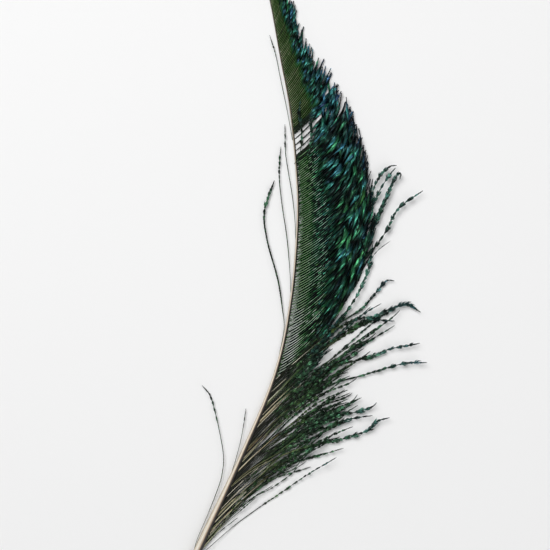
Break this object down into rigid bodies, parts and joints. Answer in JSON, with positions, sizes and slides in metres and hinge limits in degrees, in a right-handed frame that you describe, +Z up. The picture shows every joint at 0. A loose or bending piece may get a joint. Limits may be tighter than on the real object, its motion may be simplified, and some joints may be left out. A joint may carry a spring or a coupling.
{
  "type": "peacock sword feather",
  "caption": "Peacock sword feather lying flat: pale curved shaft with a one-sided green and teal vane, closed web above and long loose beaded barbs below.",
  "frame": {"origin": "on the surface the feather lies on, under the middle of its bounding box", "axes": "+Y from the quill to the tip, +X towards the wide outer vane, +Z up off the surface"},
  "size_m": [0.1188, 0.3128, 0.0035],
  "materials": {
    "shaft": "satin cream keratin, horn-like",
    "web": "iridescent green to teal barbs, soft metallic sheen",
    "tip": "olive bronze web with a teal fringe, soft metallic sheen",
    "loose_barbs": "dark green beaded barbs, tan at their roots",
    "inner_barbs": "dark green plain barbs"
  },
  "bodies": {
    "root": {"shaft": "shaft", "web_vane": "web", "tip_vane": "tip", "split_barb_01": "loose_barbs", "split_barb_02": "loose_barbs", "split_barb_03": "loose_barbs", "loose_barb_01": "loose_barbs", "loose_barb_02": "loose_barbs", "loose_barb_03": "loose_barbs", "loose_barb_04": "loose_barbs", "loose_barb_05": "loose_barbs", "loose_barb_06": "loose_barbs", "loose_barb_07": "loose_barbs", "loose_barb_08": "loose_barbs", "loose_barb_09": "loose_barbs", "loose_barb_10": "loose_barbs", "loose_barb_11": "loose_barbs", "loose_barb_12": "loose_barbs", "loose_barb_13": "loose_barbs", "loose_barb_14": "loose_barbs", "loose_barb_15": "loose_barbs", "loose_barb_16": "loose_barbs", "loose_barb_17": "loose_barbs", "loose_barb_18": "loose_barbs", "loose_barb_19": "loose_barbs", "loose_barb_20": "loose_barbs", "loose_barb_21": "loose_barbs", "loose_barb_22": "loose_barbs", "loose_barb_23": "loose_barbs", "loose_barb_24": "loose_barbs", "loose_barb_25": "loose_barbs", "loose_barb_26": "loose_barbs", "loose_barb_27": "loose_barbs", "loose_barb_28": "loose_barbs", "loose_barb_29": "loose_barbs", "loose_barb_30": "loose_barbs", "long_barb_01": "loose_barbs", "long_barb_02": "loose_barbs", "long_barb_03": "loose_barbs", "inner_barb_01": "inner_barbs", "inner_barb_02": "inner_barbs", "inner_barb_03": "inner_barbs", "inner_barb_04": "inner_barbs", "inner_barb_05": "inner_barbs", "inner_barb_06": "inner_barbs"}
  },
  "joints": []
}
